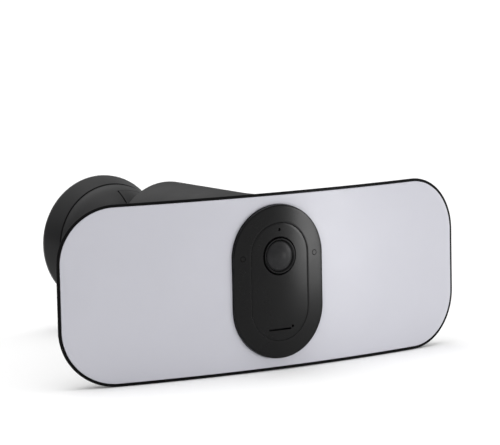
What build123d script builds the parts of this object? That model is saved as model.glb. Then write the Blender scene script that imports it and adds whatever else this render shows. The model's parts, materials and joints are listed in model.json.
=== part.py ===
from build123d import *
import os
from math import cos, radians, sin, sqrt

os.makedirs("parts", exist_ok=True)

# Battery floodlight with a camera in the middle of its light panel, held off a wall.
# Millimetres. The origin is the centre of the wall plate's back face, +Z is up, and the
# panel faces -Y. "Depth" is how far a point lies behind the panel's foremost line.

# ---------------------------------------------------------------- driving dimensions
REACH = 299.0            # wall to the front of the panel
PANEL_W = 366.7
PANEL_H = 141.0
PANEL_CORNER = 45.5
PANEL_Z = -2.9           # panel centre, seen from the wall plate's axis
BEND_R = 810.0           # the panel is bent about a vertical axis
BEND_Y = BEND_R - REACH

RIM_W = 2.2              # black lip around the diffuser
DIFFUSER_T = 1.6
LEDGE_T = 2.6            # depth of the back of the ledge that carries the diffuser
SKIRT_D = 5.0            # depth of the bezel's inner skirt
SHELL_T = 2.5
SHELL_INSET = 2.5        # the rear shell stands in from the rim
REAR_D = 16.0            # depth of the rear shell's back
REAR_ROUND = 13.0

MODULE_W = 81.9          # camera module, an upright stadium
MODULE_H = 122.2
MODULE_PROUD = 3.8
MODULE_R = 400.0
WINDOW_W = 52.0
WINDOW_H = 94.0
LENS_Z = PANEL_Z + 20.5
LENS_R = 11.75
IR_X = 33.0

BARREL_R = 49.5
BARREL_Z = 12.5
BARREL_FRONT = -237.0
BARREL_REAR = -121.0
POD_W = 170.0
POD_BOTTOM = -61.0

PACK_HALF_W = 28.6
PACK_FRONT = -213.6
PACK_REAR = -144.4

HEAD_R = 51.4            # half-round swivel head on the base
SEAM_Y = -23.0
TILT_Y = -33.0
TONGUE_LEFT = -3.2       # sides of the neck's tongue, which lies mostly right of the middle
TONGUE_RIGHT = 18.3
SLOT_LEFT = -3.9
SLOT_RIGHT = 18.8

BASE_REAR_R = 57.9
BASE_FRONT_R = 52.2
STUD_CIRCLE_R = 35.0
STUD_HOLE_R = 2.4

RUN_GAP = 0.05           # radial clearance of a running fit
GAP = 0.3                # gap between parts that only pass each other


# ---------------------------------------------------------------- shared shapes
def bent_y(x, depth):
    """Where the bent panel's surface at a depth lies, at a distance x from its middle."""
    return BEND_Y - sqrt((BEND_R - depth) ** 2 - x**2)


def at_depth(depth):
    """Upright plane at a depth behind the panel's foremost line, facing forward."""
    return Plane.XZ.offset(REACH - depth)


def at_y(y):
    """Upright plane at a given y, facing forward."""
    return Plane.XZ.offset(-y)


def save(piece, label):
    piece.part.label = label
    export_step(piece.part, f"parts/{label}.step")


def bent(outline, near, far):
    """A flat outline given the panel's bend, between two depths."""
    with BuildPart() as plate:
        with BuildSketch(at_depth(-8)):
            add(outline)
        extrude(amount=-70)
        with BuildSketch(Plane.XY.offset(-PANEL_H)):
            with Locations((0, BEND_Y)):
                Circle(BEND_R - near)
                Circle(BEND_R - far, mode=Mode.SUBTRACT)
        extrude(amount=2 * PANEL_H, mode=Mode.INTERSECT)
    return plate.part


def panel_outline(inset, inner_inset=None):
    """The panel's rounded rectangle, drawn in by an inset, or the band between two insets."""
    with BuildSketch() as outline:
        with Locations((0, PANEL_Z)):
            RectangleRounded(PANEL_W - 2 * inset, PANEL_H - 2 * inset, PANEL_CORNER - inset)
            if inner_inset is not None:
                RectangleRounded(
                    PANEL_W - 2 * inner_inset,
                    PANEL_H - 2 * inner_inset,
                    PANEL_CORNER - inner_inset,
                    mode=Mode.SUBTRACT,
                )
    return outline.sketch


def dish(inset, near, far, rounding):
    """A bent plate with its rear edge rounded over."""
    with BuildPart() as plate:
        add(bent(panel_outline(inset), near, far))
        bent_faces = [f for f in plate.faces().filter_by(GeomType.CYLINDER) if f.area > 20000]
        rear = sorted(bent_faces, key=lambda f: f.center().Y)[-1]
        fillet(rear.edges(), rounding)
    return plate.part


def stadium(width, height):
    """An upright stadium about the panel's centre."""
    with BuildSketch() as outline:
        with Locations((0, PANEL_Z)):
            SlotOverall(height, width, rotation=90)
    return outline.sketch


def module_block(outline, back_depth, drop=0.0):
    """An outline whose front follows the camera module's bulge, with a flat back."""
    with BuildPart() as block:
        with BuildSketch(at_depth(-12)):
            add(outline)
        extrude(amount=-(back_depth + 12))
        with BuildSketch(Plane.XY.offset(-PANEL_H)):
            with Locations((0, MODULE_R - REACH - MODULE_PROUD)):
                Circle(MODULE_R - drop)
        extrude(amount=2 * PANEL_H, mode=Mode.INTERSECT)
    return block.part


def disc(x, z, radius, y_front, y_rear):
    """A round bar along Y."""
    with BuildPart() as bar:
        with BuildSketch(at_y(y_front)):
            with Locations((x, z)):
                Circle(radius)
        extrude(amount=-(y_rear - y_front))
    return bar.part


def block(x_span, y_span, z_span):
    """A plain box between limits on each axis."""
    with BuildPart() as box:
        middle = [(a + b) / 2 for a, b in (x_span, y_span, z_span)]
        size = [b - a for a, b in (x_span, y_span, z_span)]
        with Locations(tuple(middle)):
            Box(*size)
    return box.part


def cross_bar(radius, x_low, x_high):
    """A round bar along X on the tilt axis."""
    with BuildPart() as bar:
        with BuildSketch(Plane.YZ.offset(x_low)):
            with Locations((TILT_Y, 0)):
                Circle(radius)
        extrude(amount=x_high - x_low)
    return bar.part


# ================================================================ light panel
SKIRT_OUT = SHELL_INSET + 2.9
SKIRT_IN = SKIRT_OUT + 1.2
with BuildPart() as front_bezel:
    add(bent(panel_outline(0, RIM_W), 0, DIFFUSER_T + 0.01))
    add(bent(panel_outline(1.6, SKIRT_IN), DIFFUSER_T, LEDGE_T))
    add(bent(panel_outline(SKIRT_OUT, SKIRT_IN), LEDGE_T - 0.01, SKIRT_D))
save(front_bezel, "front_bezel")

with BuildPart() as light_diffuser:
    add(bent(panel_outline(RIM_W + 0.1) - stadium(MODULE_W + 0.2, MODULE_H + 0.2), 0, DIFFUSER_T))
save(light_diffuser, "light_diffuser")

with BuildPart() as panel_gasket:
    add(bent(panel_outline(SKIRT_IN + 0.1, SKIRT_IN + 1.2), DIFFUSER_T + 0.05, 3.2))
save(panel_gasket, "panel_gasket")

TRAY_INSET = SKIRT_IN + 0.1
TRAY_WALL = 1.1
TRAY_BACK = 9.6
with BuildPart() as reflector_tray:
    add(dish(TRAY_INSET, 3.25, TRAY_BACK, 5.0))
    add(dish(TRAY_INSET + TRAY_WALL, 0, TRAY_BACK - TRAY_WALL, 4.0), mode=Mode.SUBTRACT)
    add(bent(stadium(72, 104), 0, TRAY_BACK + 1), mode=Mode.SUBTRACT)
save(reflector_tray, "reflector_tray")

LED_X = 112.0
for side, name in ((-1, "left"), (1, "right")):
    with BuildSketch() as board_outline:
        with Locations((side * LED_X, PANEL_Z)):
            RectangleRounded(112, 96, 18)
    with BuildPart() as led_board:
        add(bent(board_outline.sketch, 7.0, 8.3))
    save(led_board, f"led_board_{name}")

    with BuildSketch() as led_outline:
        with Locations((side * LED_X, PANEL_Z)):
            with GridLocations(20, 20, 5, 4):
                Rectangle(3.5, 2.8)
    with BuildPart() as led_emitters:
        add(bent(led_outline.sketch, 6.2, 6.99))
    save(led_emitters, f"led_emitters_{name}")

SCREW_SPOTS = [
    (side * x, PANEL_Z + level * z)
    for x, z in ((102, 46), (152, 26))
    for side in (-1, 1)
    for level in (-1, 1)
]

with BuildPart() as heat_spreader:
    add(bent(panel_outline(14) - stadium(100, 110), TRAY_BACK + 0.1, TRAY_BACK + 1.8))
    for x, z in SCREW_SPOTS:
        add(disc(x, z, 1.55, -REACH, -REACH + 60), mode=Mode.SUBTRACT)
save(heat_spreader, "heat_spreader")


def pod(shrink):
    """The swelling that joins the flat panel to the round barrel."""
    top = BARREL_Z + BARREL_R
    with BuildPart() as body:
        with BuildSketch(at_depth(8)):
            with Locations((0, (top + POD_BOTTOM) / 2)):
                RectangleRounded(POD_W - 2 * shrink, top - POD_BOTTOM - 2 * shrink, 50 - shrink)
        with BuildSketch(at_y(BARREL_FRONT)):
            with Locations((0, BARREL_Z)):
                Circle(BARREL_R - shrink)
        loft()
    return body.part


HOLLOW_ROUND = REAR_ROUND - 4.0
with BuildPart() as panel_rear_shell:
    add(dish(SHELL_INSET, LEDGE_T, REAR_D, REAR_ROUND))
    hollow = dish(SHELL_INSET + SHELL_T - 0.2, LEDGE_T - 2, REAR_D - SHELL_T, HOLLOW_ROUND)
    add(hollow, mode=Mode.SUBTRACT)
    add(pod(SHELL_T), mode=Mode.SUBTRACT)
    for x, z in SCREW_SPOTS:
        back = bent_y(x, REAR_D)
        add(disc(x, z, 1.7, back - 10, back + 4), mode=Mode.SUBTRACT)
        add(disc(x, z, 3.3, back - 1.4, back + 4), mode=Mode.SUBTRACT)
save(panel_rear_shell, "panel_rear_shell")

with BuildPart() as barrel_collar:
    add(pod(0))
    add(pod(SHELL_T), mode=Mode.SUBTRACT)
    add(dish(SHELL_INSET, LEDGE_T, REAR_D, REAR_ROUND), mode=Mode.SUBTRACT)
save(barrel_collar, "barrel_collar")

with BuildPart() as shell_screws:
    for x, z in SCREW_SPOTS:
        back = bent_y(x, REAR_D)
        add(disc(x, z, 1.5, back - 5.6, back - 1.35))
        add(disc(x, z, 3.0, back - 1.35, back - 0.1))
        add(disc(x, z, 1.1, back - 0.8, back), mode=Mode.SUBTRACT)
save(shell_screws, "shell_screws")

# ================================================================ camera module
FLANGE_BACK = 3.4
WINDOW_BACK = -1.0
SENSOR_Z = PANEL_Z + 41.5
SLOT_X = -1.0
SLOT_Z = PANEL_Z - 37.9
SLOT_L = 21.0
MIC_X = 10.9
MIC_Z = PANEL_Z - 36.3

with BuildPart() as camera_face:
    add(module_block(stadium(MODULE_W, MODULE_H), FLANGE_BACK))
    front = [f for f in camera_face.faces().filter_by(GeomType.CYLINDER) if f.area > 5000]
    fillet(front[0].edges(), 1.2)
    add(bent(stadium(MODULE_W + 2.8, MODULE_H + 2.8), DIFFUSER_T + 0.05, FLANGE_BACK))
    add(module_block(stadium(WINDOW_W, WINDOW_H), WINDOW_BACK, -9), mode=Mode.SUBTRACT)
    add(module_block(stadium(WINDOW_W - 7, WINDOW_H - 7), FLANGE_BACK + 3, -9), mode=Mode.SUBTRACT)
    for side in (-1, 1):
        add(disc(side * IR_X, LENS_Z, 2.0, -REACH - 9, -REACH + 9), mode=Mode.SUBTRACT)
save(camera_face, "camera_face")

with BuildPart() as face_window:
    add(module_block(stadium(WINDOW_W - 0.8, WINDOW_H - 0.8), WINDOW_BACK))
    front = [f for f in face_window.faces().filter_by(GeomType.CYLINDER) if f.area > 3000]
    fillet(front[0].edges(), 0.5)
    add(disc(0, LENS_Z, 14.1, -REACH - 9, -REACH + 4), mode=Mode.SUBTRACT)
    add(disc(0, SENSOR_Z, 1.25, -REACH - 9, -REACH + 4), mode=Mode.SUBTRACT)
    add(disc(MIC_X, MIC_Z, 1.1, -REACH - 9, -REACH + 4), mode=Mode.SUBTRACT)
    with BuildSketch(at_depth(-9)):
        with Locations((SLOT_X, SLOT_Z)):
            SlotOverall(SLOT_L, 1.4)
    extrude(amount=-13, mode=Mode.SUBTRACT)
save(face_window, "face_window")

with BuildPart() as lens_ring:
    with BuildSketch(Plane.YZ):
        with BuildLine():
            Polyline(
                (-REACH - 4.2, LENS_Z + LENS_R + 1.6),
                (-REACH - 3.0, LENS_Z + LENS_R + 0.25),
                (-REACH + 2.0, LENS_Z + LENS_R + 0.25),
                (-REACH + 2.0, LENS_Z + 13.8),
                (-REACH - 4.2, LENS_Z + 13.8),
                close=True,
            )
        make_face()
    revolve(axis=Axis((0, 0, LENS_Z), (0, 1, 0)))
save(lens_ring, "lens_ring")

DOME_SPHERE_R = 17.0
DOME_RISE = DOME_SPHERE_R - sqrt(DOME_SPHERE_R**2 - LENS_R**2)
with BuildPart() as lens_dome:
    with BuildSketch(Plane.YZ) as dome_section:
        with BuildLine():
            apex = (-REACH - 3.2 - DOME_RISE, LENS_Z)
            edge = (-REACH - 3.2, LENS_Z + LENS_R)
            RadiusArc(apex, edge, DOME_SPHERE_R)
            Line(edge, (-REACH - 1.6, LENS_Z + LENS_R))
            Line((-REACH - 1.6, LENS_Z + LENS_R), (-REACH - 1.6, LENS_Z))
            Line((-REACH - 1.6, LENS_Z), apex)
        make_face()
    revolve(axis=Axis((0, 0, LENS_Z), (0, 1, 0)))
save(lens_dome, "lens_dome")

with BuildPart() as lens_cell:
    add(disc(0, LENS_Z, 10.0, -REACH - 1.5, -REACH + 9))
    add(disc(0, LENS_Z, 8.0, -REACH + 9, -REACH + 16))
    add(disc(0, LENS_Z, 6.0, -REACH - 2, -REACH + 1), mode=Mode.SUBTRACT)
save(lens_cell, "lens_cell")

with BuildPart() as lens_element:
    add(disc(0, LENS_Z, 5.9, -REACH - 0.6, -REACH + 0.9))
save(lens_element, "lens_element")

with BuildPart() as sensor_board:
    with BuildSketch(at_depth(16.1)):
        with Locations((0, LENS_Z)):
            RectangleRounded(34, 34, 2)
    extrude(amount=-1.4)
save(sensor_board, "sensor_board")

with BuildPart() as ir_windows:
    for side in (-1, 1):
        add(disc(side * IR_X, LENS_Z, 1.92, -REACH - 2.3, -REACH - 0.6))
save(ir_windows, "ir_windows")

with BuildPart() as ir_emitters:
    for side in (-1, 1):
        add(disc(side * IR_X, LENS_Z, 1.7, -REACH - 0.5, -REACH + 3.3))
save(ir_emitters, "ir_emitters")

with BuildPart() as light_sensor:
    add(disc(0, SENSOR_Z, 1.18, -REACH - 2.4, -REACH - 0.9))
    add(disc(0, SENSOR_Z, 2.0, -REACH - 0.9, -REACH + 1))
save(light_sensor, "light_sensor")

with BuildPart() as microphone:
    add(block((MIC_X - 2, MIC_X + 2), (-REACH - 0.95, -REACH + 0.2), (MIC_Z - 1.5, MIC_Z + 1.5)))
save(microphone, "microphone")

with BuildPart() as motion_sensor:
    add(disc(0, PANEL_Z - 10, 4.6, -REACH + 1.5, -REACH + 6))
    add(disc(0, PANEL_Z - 10, 5.1, -REACH + 6, -REACH + 6.8))
save(motion_sensor, "motion_sensor")

SPEAKER_Z = PANEL_Z - 34
with BuildPart() as speaker:
    add(disc(0, SPEAKER_Z, 14, -REACH + 7, -REACH + 10))
    add(disc(0, SPEAKER_Z, 9, -REACH + 10, -REACH + 15))
save(speaker, "speaker")

BOARD_D = 26.0
CHIPS = (                # x, z, width, height, thickness
    (-18, 12, 16, 16, 1.4),
    (14, 14, 12, 12, 1.2),
    (-14, -22, 20, 14, 3.0),
    (20, -18, 9, 9, 4.0),
)
with BuildPart() as main_board:
    with BuildSketch(at_depth(BOARD_D)):
        with Locations((0, PANEL_Z)):
            RectangleRounded(84, 84, 10)
            with GridLocations(70, 70, 2, 2):
                Circle(1.7, mode=Mode.SUBTRACT)
    extrude(amount=-1.6)
save(main_board, "main_board")

with BuildPart() as board_chips:
    for x, z, w, h, t in CHIPS:
        middle_z = PANEL_Z + z
        y = -REACH + BOARD_D + 1.61
        add(block((x - w / 2, x + w / 2), (y, y + t), (middle_z - h / 2, middle_z + h / 2)))
save(board_chips, "board_chips")

with BuildPart() as wifi_antennas:
    for side in (-1, 1):
        x = side * 54
        add(block((x - 4, x + 4), (-REACH + 20, -REACH + 21), (PANEL_Z - 20, PANEL_Z + 24)))
save(wifi_antennas, "wifi_antennas")

# ================================================================ barrel
INNER_R = BARREL_R - SHELL_T
CAP_FRONT = BARREL_REAR - 5.0
CAP_REAR = BARREL_REAR - 1.0
CAP_SCREW_R = 40.5
CAP_SCREWS = [
    (CAP_SCREW_R * cos(radians(a)), BARREL_Z + CAP_SCREW_R * sin(radians(a)))
    for a in (30, 150, 210, 330)
]
RELEASE_Y = -135.0
RELEASE_R = 6.0
SYNC_Y = -225.5
SYNC_R = 4.5
LED_PIPE_X = 13.0


def barrel_tube(outer, inner, y_front, y_rear):
    """A length of tube on the barrel's axis."""
    with BuildPart() as tube:
        with BuildSketch(at_y(y_front)):
            with Locations((0, BARREL_Z)):
                Circle(outer)
                if inner:
                    Circle(inner, mode=Mode.SUBTRACT)
        extrude(amount=-(y_rear - y_front))
    return tube.part


def upright_bar(x, y, radius, z_low, z_high):
    """A round bar along Z."""
    with BuildPart() as bar:
        with BuildSketch(Plane.XY.offset(z_low)):
            with Locations((x, y)):
                Circle(radius)
        extrude(amount=z_high - z_low)
    return bar.part


PACK_OPENING = block(
    (-PACK_HALF_W - 0.4, PACK_HALF_W + 0.4),
    (PACK_FRONT - 0.4, PACK_REAR + 0.4),
    (BARREL_Z - 60, BARREL_Z - 20),
)
with BuildPart() as barrel_shell:
    add(barrel_tube(BARREL_R, INNER_R, BARREL_FRONT, BARREL_REAR))
    end_edges = barrel_shell.faces().sort_by(Axis.Y)[-1].edges().sort_by(SortBy.RADIUS)
    fillet(end_edges[-1], 1.6)
    add(barrel_tube(INNER_R - 0.1, INNER_R - 2.2, BARREL_FRONT - 6, BARREL_FRONT + 4))
    add(barrel_tube(INNER_R + 0.5, INNER_R - 2.2, BARREL_FRONT + 1, BARREL_FRONT + 4))
    for x, z in CAP_SCREWS:
        add(disc(x, z, 4.0, CAP_FRONT - 12, CAP_FRONT))
        root_x = x * 1.13
        root_z = BARREL_Z + (z - BARREL_Z) * 1.13
        add(disc(root_x, root_z, 2.2, CAP_FRONT - 12, CAP_FRONT))
        add(disc(x, z, 1.55, CAP_FRONT - 10, CAP_FRONT + 1), mode=Mode.SUBTRACT)
    add(PACK_OPENING, mode=Mode.SUBTRACT)
    add(upright_bar(0, RELEASE_Y, RELEASE_R + GAP, BARREL_Z - 60, BARREL_Z - 30), mode=Mode.SUBTRACT)
    add(upright_bar(0, SYNC_Y, SYNC_R + GAP, BARREL_Z - 60, BARREL_Z - 30), mode=Mode.SUBTRACT)
    add(upright_bar(LED_PIPE_X, SYNC_Y, 1.3, BARREL_Z - 60, BARREL_Z - 30), mode=Mode.SUBTRACT)
save(barrel_shell, "barrel_shell")

PORT_X = 20.0
PORT_Z = BARREL_Z - 32.0
FLAP_W = 14.0
FLAP_H = 9.0
with BuildPart() as barrel_rear_cap:
    add(barrel_tube(INNER_R - 0.1, 9.0 + RUN_GAP, CAP_FRONT, CAP_REAR))
    for x, z in CAP_SCREWS:
        add(disc(x, z, 1.7, CAP_FRONT - 1, CAP_REAR + 1), mode=Mode.SUBTRACT)
        add(disc(x, z, 3.3, CAP_REAR - 1.9, CAP_REAR + 1), mode=Mode.SUBTRACT)
    with BuildSketch(at_y(CAP_REAR)):
        with Locations((PORT_X, PORT_Z)):
            RectangleRounded(FLAP_W + 0.6, FLAP_H + 0.6, 2.3)
    extrude(amount=1.6, mode=Mode.SUBTRACT)
    with BuildSketch(at_y(CAP_REAR)):
        with Locations((PORT_X, PORT_Z)):
            SlotOverall(9.4, 3.6)
    extrude(amount=6, mode=Mode.SUBTRACT)
save(barrel_rear_cap, "barrel_rear_cap")

with BuildPart() as cap_screws:
    for x, z in CAP_SCREWS:
        add(disc(x, z, 1.5, CAP_FRONT - 8, CAP_REAR - 1.85))
        add(disc(x, z, 3.0, CAP_REAR - 1.85, CAP_REAR - 0.2))
        add(disc(x, z, 1.1, CAP_REAR - 1.2, CAP_REAR), mode=Mode.SUBTRACT)
save(cap_screws, "cap_screws")

with BuildPart() as charge_port:
    with BuildSketch(at_y(CAP_FRONT)):
        with Locations((PORT_X, PORT_Z)):
            RectangleRounded(11, 6, 1)
    extrude(amount=6)
    with BuildSketch(at_y(CAP_FRONT)):
        with Locations((PORT_X, PORT_Z)):
            SlotOverall(9.0, 3.2)
            SlotOverall(6.4, 0.9, mode=Mode.SUBTRACT)
    extrude(amount=4.5, mode=Mode.SUBTRACT)
save(charge_port, "charge_port")

with BuildPart() as port_cover:
    with BuildSketch(at_y(CAP_REAR - 1.5)):
        with Locations((PORT_X, PORT_Z)):
            RectangleRounded(FLAP_W, FLAP_H, 2.0)
    extrude(amount=-1.5)
    fillet(port_cover.faces().sort_by(Axis.Y)[-1].edges(), 0.5)
save(port_cover, "port_cover")

PACK_TOP = BARREL_Z + 2.0
with BuildPart() as battery_pack:
    add(block((-PACK_HALF_W, PACK_HALF_W), (PACK_FRONT, PACK_REAR), (BARREL_Z - 47, PACK_TOP)))
    fillet(battery_pack.edges().filter_by(Axis.Y).sort_by(Axis.Z)[-2:], 4)
    add(barrel_tube(INNER_R - 0.4, 0, BARREL_FRONT, BARREL_REAR), mode=Mode.INTERSECT)
    latch_groove = block((-4.2, 4.2), (PACK_REAR - 2.4, PACK_REAR + 1), (BARREL_Z - 44, PACK_TOP + 1))
    add(latch_groove, mode=Mode.SUBTRACT)
save(battery_pack, "battery_pack")

with BuildPart() as battery_cover:
    add(barrel_tube(BARREL_R, INNER_R - 0.38, PACK_FRONT, PACK_REAR))
    keep = block((-PACK_HALF_W, PACK_HALF_W), (PACK_FRONT, PACK_REAR), (BARREL_Z - 60, BARREL_Z - 20))
    add(keep, mode=Mode.INTERSECT)
save(battery_cover, "battery_cover")

BAY_GAP = 0.4
BAY_T = 1.5
with BuildPart() as battery_bay:
    inner = PACK_HALF_W + BAY_GAP
    outer = inner + BAY_T
    bay_floor = BARREL_Z - 35.0
    bay_top = PACK_TOP + 3.0
    add(block((-outer, outer), (PACK_FRONT - 1.9, PACK_REAR + 1.9), (bay_floor, bay_top + BAY_T)))
    add(
        block((-inner, inner), (PACK_FRONT - BAY_GAP, PACK_REAR + BAY_GAP), (bay_floor - 1, bay_top)),
        mode=Mode.SUBTRACT,
    )
    latch_window = block((-5.5, 5.5), (PACK_REAR - 1, PACK_REAR + 3), (bay_floor - 1, bay_floor + 8))
    add(latch_window, mode=Mode.SUBTRACT)
save(battery_bay, "battery_bay")

with BuildPart() as battery_contacts:
    for x in (-10, 0, 10):
        add(upright_bar(x, PACK_FRONT + 12, 1.8, PACK_TOP + 0.1, bay_top))
save(battery_contacts, "battery_contacts")

LATCH_Z = BARREL_Z - 42.0
with BuildPart() as release_button:
    add(upright_bar(0, RELEASE_Y, RELEASE_R, BARREL_Z - 52, LATCH_Z + 3))
    add(barrel_tube(BARREL_R + 0.3, 0, BARREL_FRONT, BARREL_REAR), mode=Mode.INTERSECT)
    add(upright_bar(0, RELEASE_Y, RELEASE_R + 1.5, LATCH_Z - 3.6, LATCH_Z - 2.0))
    add(block((-3.9, 3.9), (PACK_REAR - 1.9, RELEASE_Y), (LATCH_Z, LATCH_Z + 3)))
save(release_button, "release_button")

with BuildPart() as release_spring:
    with BuildLine():
        coil = Helix(pitch=2.0, height=10.0, radius=3.4, center=(0, RELEASE_Y, LATCH_Z + 3.6))
    with BuildSketch(coil ^ 0):
        Circle(0.4)
    sweep(is_frenet=True)
save(release_spring, "release_spring")

with BuildPart() as spring_post:
    add(upright_bar(0, RELEASE_Y, 7.0, LATCH_Z + 14.2, LATCH_Z + 16.2))
    add(upright_bar(0, RELEASE_Y, 2.6, LATCH_Z + 8.0, LATCH_Z + 14.3))
save(spring_post, "spring_post")

with BuildPart() as sync_button:
    add(upright_bar(0, SYNC_Y, SYNC_R, BARREL_Z - 52, BARREL_Z - 43))
    add(barrel_tube(BARREL_R + 0.2, 0, BARREL_FRONT, BARREL_REAR), mode=Mode.INTERSECT)
    add(upright_bar(0, SYNC_Y, SYNC_R + 1.3, BARREL_Z - 46.0, BARREL_Z - 44.4))
save(sync_button, "sync_button")

with BuildPart() as button_board:
    add(block((-16, 16), (SYNC_Y - 7, SYNC_Y + 7), (BARREL_Z - 40, BARREL_Z - 38.6)))
    add(upright_bar(0, SYNC_Y, 2.0, BARREL_Z - 41.4, BARREL_Z - 40))
save(button_board, "button_board")

with BuildPart() as status_light:
    add(upright_bar(LED_PIPE_X, SYNC_Y, 1.2, BARREL_Z - 52, BARREL_Z - 40.1))
    add(barrel_tube(BARREL_R, 0, BARREL_FRONT, BARREL_REAR), mode=Mode.INTERSECT)
save(status_light, "status_light")

# ================================================================ neck
SPIGOT_R = 9.0
FLANGE_R = 27.0
FLANGE_FRONT = CAP_REAR + 0.2
PIN_R = 4.0
WASHER_R = 9.0
WASHERS = (              # left and right limits of each tilt washer
    (SLOT_LEFT + 0.1, TONGUE_LEFT + 1.0),
    (TONGUE_RIGHT - 1.0, SLOT_RIGHT - 0.1),
)
HUB_R = 10.0
TONGUE_R = HEAD_R - 0.1
TONGUE_TOP = 79.5        # angles above the forward direction, about the tilt axis
TONGUE_BOTTOM = -42.0
TONGUE_W = TONGUE_RIGHT - TONGUE_LEFT
TONGUE_X = (TONGUE_RIGHT + TONGUE_LEFT) / 2


def ray_point(angle, distance, shift=0.0):
    """Point in side view on a ray from the tilt axis, at an angle above forward."""
    return (TILT_Y + shift - distance * cos(radians(angle)), distance * sin(radians(angle)))


def hemisphere(radius, back):
    """A solid half ball facing forward, with a straight stretch behind its flat side."""
    with BuildPart() as half:
        with BuildSketch(Plane.YZ):
            with BuildLine():
                apex = (SEAM_Y - radius, 0)
                side = (SEAM_Y, radius)
                RadiusArc(apex, side, radius)
                Polyline(side, (back, radius), (back, 0), apex)
            make_face()
        revolve(axis=Axis.Y)
    return half.part


def rim_arcs(piece, x, radius):
    """The edges where an upright side face at x meets a ball of a given radius."""
    arc_r = sqrt(radius**2 - x**2)
    arcs = piece.edges().filter_by(GeomType.CIRCLE)
    return [e for e in arcs if abs(e.radius - arc_r) < 0.01 and abs(e.center().X - x) < 0.01]


with BuildPart() as tongue:
    with BuildSketch(Plane.YZ.offset(TONGUE_LEFT)):
        with BuildLine():
            Polyline(
                (TILT_Y, 0),
                ray_point(TONGUE_TOP, 70),
                ray_point(20, 70),
                ray_point(TONGUE_BOTTOM, 70),
                close=True,
            )
        make_face()
        with Locations((TILT_Y, 0)):
            Circle(HUB_R)
    extrude(amount=TONGUE_W)
    add(hemisphere(TONGUE_R, SEAM_Y + 1), mode=Mode.INTERSECT)
    fillet(rim_arcs(tongue, TONGUE_LEFT, TONGUE_R) + rim_arcs(tongue, TONGUE_RIGHT, TONGUE_R), 0.8)

ARM_FRONT_H = 38.0
ARM_REAR_H = 43.0
ARM_REAR_Z = 1.5
ARM_SHOULDER_Y = -82.0
with BuildPart() as neck_arm:
    with BuildSketch(at_y(FLANGE_FRONT + 3)):
        with Locations((0, BARREL_Z - 2)):
            RectangleRounded(TONGUE_W, ARM_FRONT_H, 7)
    with BuildSketch(at_y(ARM_SHOULDER_Y)):
        with Locations((TONGUE_X, ARM_REAR_Z)):
            RectangleRounded(TONGUE_W, ARM_REAR_H, 7)
    loft()
    with BuildSketch(at_y(ARM_SHOULDER_Y)):
        with Locations((TONGUE_X, ARM_REAR_Z)):
            RectangleRounded(TONGUE_W, ARM_REAR_H, 7)
    extrude(amount=-16)
    add(tongue.part)
    add(disc(0, BARREL_Z, FLANGE_R, FLANGE_FRONT, FLANGE_FRONT + 5))
    circles = neck_arm.edges().filter_by(GeomType.CIRCLE)
    flange_rims = circles.filter_by(lambda e: abs(e.radius - FLANGE_R) < 0.01)
    fillet(flange_rims.sort_by(Axis.Y)[-1], 2)
    add(disc(0, BARREL_Z, SPIGOT_R, CAP_FRONT - 8, FLANGE_FRONT))
    add(cross_bar(WASHER_R + 0.1, WASHERS[0][1] - 5, WASHERS[0][1]), mode=Mode.SUBTRACT)
    add(cross_bar(WASHER_R + 0.1, WASHERS[1][0], WASHERS[1][0] + 5), mode=Mode.SUBTRACT)
    add(cross_bar(PIN_R + RUN_GAP, -20, 30), mode=Mode.SUBTRACT)
save(neck_arm, "neck_arm")

with BuildPart() as friction_washers:
    for left, right in WASHERS:
        add(cross_bar(WASHER_R, left, right))
    add(cross_bar(PIN_R + 0.1, -20, 30), mode=Mode.SUBTRACT)
save(friction_washers, "friction_washers")

with BuildPart() as roll_washer:
    add(barrel_tube(14.0, SPIGOT_R + 0.1, CAP_FRONT - 1.1, CAP_FRONT - 0.1))
save(roll_washer, "roll_washer")

with BuildPart() as roll_nut:
    with BuildSketch(at_y(CAP_FRONT - 7.0)):
        with Locations((0, BARREL_Z)):
            RegularPolygon(14.0, 6)
            Circle(SPIGOT_R + 0.02, mode=Mode.SUBTRACT)
    extrude(amount=-5.8)
save(roll_nut, "roll_nut")

# ================================================================ swivel head
EAR_T = 7.0
HEAD_WALL = 4.0
HEAD_BACK = -17.3
HEAD_FLANGE_R = 48.4
BAND_GAP = 0.15          # between the tongue's top and the band the head keeps above it
BOSS_R = 9.0
PIN_SEAT_X = 30.0
PLUG_R = 7.4

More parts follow.
